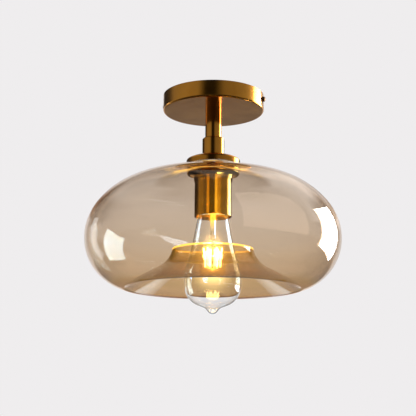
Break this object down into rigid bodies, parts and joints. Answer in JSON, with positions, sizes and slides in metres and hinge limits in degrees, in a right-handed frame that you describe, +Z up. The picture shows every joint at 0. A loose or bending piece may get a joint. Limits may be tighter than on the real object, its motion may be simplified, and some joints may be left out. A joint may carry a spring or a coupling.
{
  "type": "ceiling light",
  "caption": "Semi-flush ceiling light with a brass canopy, stem and socket cup, a blown glass shade with a re-entrant bell mouth, and a lit screw-cap lamp.",
  "frame": {"origin": "centre of the canopy's rim, in the ceiling plane", "axes": "+Z up into the ceiling, along the lamp's axis; X through the two side screws; -Y towards the viewer"},
  "size_m": [0.2844, 0.2844, 0.2493],
  "materials": {
    "lacquered_brass": "turned and polished, lacquered warm antique brass",
    "plain_brass": "turned, unpolished",
    "zinc_steel": "pressed, bright zinc plate",
    "earth_green": "green earth-screw dye",
    "block_plastic": "moulded",
    "holder_ceramic": "pressed and fired, thin glaze",
    "amber_glass": "mouth-blown, pale cognac tint, polished by the fire",
    "clear_silicone": "translucent silicone",
    "brown_lead": "sleeved insulation",
    "blue_lead": "sleeved insulation",
    "green_lead": "sleeved insulation",
    "cap_metal": "drawn sheet, rolled thread",
    "cap_insulator": "black glass-like insulator",
    "solder": "soldered contact",
    "driver_board": "green board with its parts",
    "lamp_glass": "clear, thin blown",
    "lamp_wire": "drawn nickel wire",
    "lit_filament": "phosphor-coated light filament, lit"
  },
  "bodies": {
    "fitting": {"mounting_bracket": "zinc_steel", "earth_screw": "earth_green", "terminal_block": "block_plastic", "terminal_barrels": "plain_brass", "clamp_screws": "zinc_steel", "canopy": "lacquered_brass", "canopy_washer": "zinc_steel", "canopy_nut": "plain_brass", "threaded_rod": "zinc_steel", "stem_bush": "zinc_steel", "stem": "lacquered_brass", "collar": "lacquered_brass", "dome_cap": "lacquered_brass", "upper_gasket": "clear_silicone", "glass_shade": "amber_glass", "lower_gasket": "clear_silicone", "socket_cup": "lacquered_brass", "cup_washer": "zinc_steel", "lampholder_saddle": "zinc_steel", "cup_nut": "plain_brass", "lampholder_body": "holder_ceramic", "saddle_screws": "zinc_steel", "screw_shell": "plain_brass", "centre_contact": "plain_brass", "terminal_screws": "plain_brass", "live_lead": "brown_lead", "neutral_lead": "blue_lead", "earth_lead": "green_lead"},
    "side_screw_left": {"side_screw_left": "lacquered_brass"},
    "side_screw_right": {"side_screw_right": "lacquered_brass"},
    "lamp": {"bulb_cap": "cap_metal", "bulb_insulator": "cap_insulator", "bulb_contact": "solder", "bulb_driver": "driver_board", "bulb_glass": "lamp_glass", "bulb_mount": "lamp_glass", "bulb_wires": "lamp_wire", "bulb_filaments": "lit_filament"}
  },
  "joints": [
    {"name": "lamp_removal", "type": "slide", "parent": "fitting", "child": "lamp", "axis": [0, 0, -1], "range_m": [0, 0.027]},
    {"name": "side_screw_left_out", "type": "slide", "parent": "fitting", "child": "side_screw_left", "axis": [-1, 0, 0], "range_m": [0, 0.006]},
    {"name": "side_screw_right_out", "type": "slide", "parent": "fitting", "child": "side_screw_right", "axis": [1, 0, 0], "range_m": [0, 0.006]}
  ]
}
